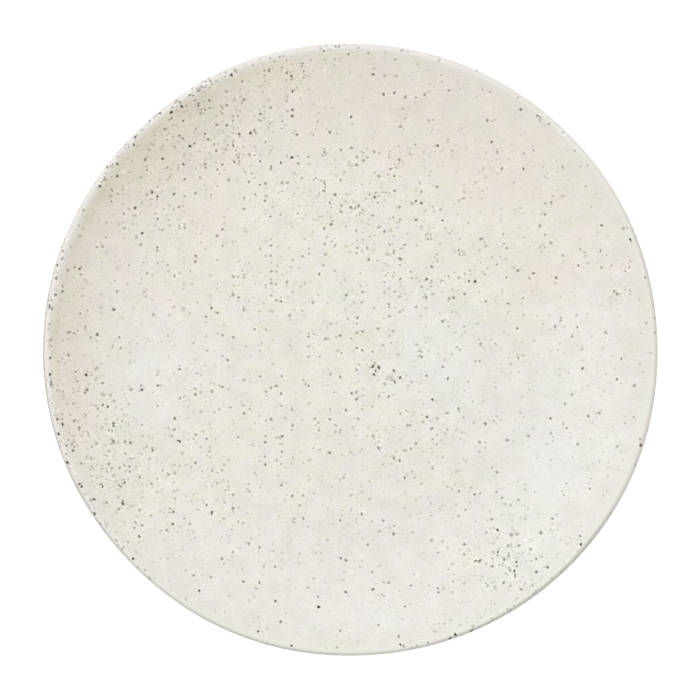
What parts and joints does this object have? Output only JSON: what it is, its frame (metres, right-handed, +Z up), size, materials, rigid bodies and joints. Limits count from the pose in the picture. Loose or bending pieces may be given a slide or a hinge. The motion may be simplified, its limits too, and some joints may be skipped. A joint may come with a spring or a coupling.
{
  "type": "coupe dinner plate",
  "caption": "Round speckled stoneware coupe plate: flat well, wall curving up to a plain rounded lip, bare foot ring below. Holds a meal at table and stacks.",
  "frame": {"origin": "centre of the foot ring, on the surface that the plate stands on", "axes": "+Z up along the plate's axis, +X to the right and +Y to the top of the picture"},
  "size_m": [0.27, 0.27, 0.025],
  "materials": {
    "stoneware": "bare fired clay, matt and slightly gritty",
    "face_glaze": "satin cream glaze with fine dark specks",
    "underside_glaze": "satin cream glaze with fine dark specks",
    "base_glaze": "satin cream glaze with fine dark specks"
  },
  "bodies": {
    "root": {"stoneware_body": "stoneware", "glaze_face": "face_glaze", "glaze_underside": "underside_glaze", "glaze_base": "base_glaze"}
  },
  "joints": []
}
